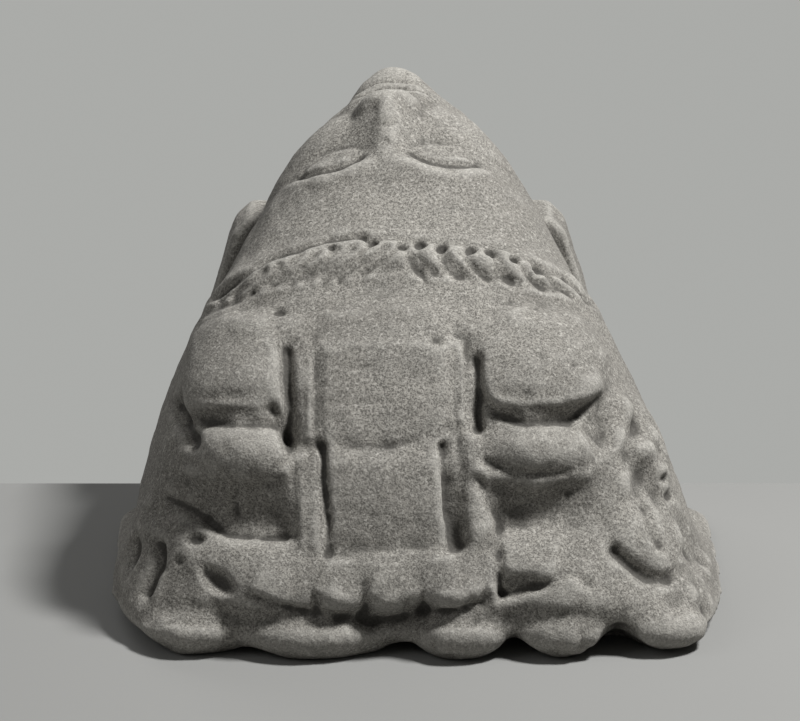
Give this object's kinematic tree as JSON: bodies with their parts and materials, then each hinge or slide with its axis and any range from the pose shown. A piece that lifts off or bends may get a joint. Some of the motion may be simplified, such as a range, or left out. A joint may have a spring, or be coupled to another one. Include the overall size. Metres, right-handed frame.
{
  "type": "carved stone corbel",
  "caption": "Sandstone corbel carved with a beast's mask worn over a small human head, with a lobed mane under its bed and a flat slab at the wall.",
  "frame": {"origin": "centre of the backing slab's flat wall face", "axes": "+Y out of the wall face into the wall, -Y the carved front, +Z from the load bed up through the stone as it stands turned over on that bed, +X to the right seen from the front. Built in, the stone is turned half a turn about Y, so that the bed faces up."},
  "size_m": [0.348, 0.2874, 0.2633],
  "materials": {
    "stone": "worn medium-grained sandstone, matt"
  },
  "bodies": {
    "root": {"corbel_stone": "stone"}
  },
  "joints": []
}
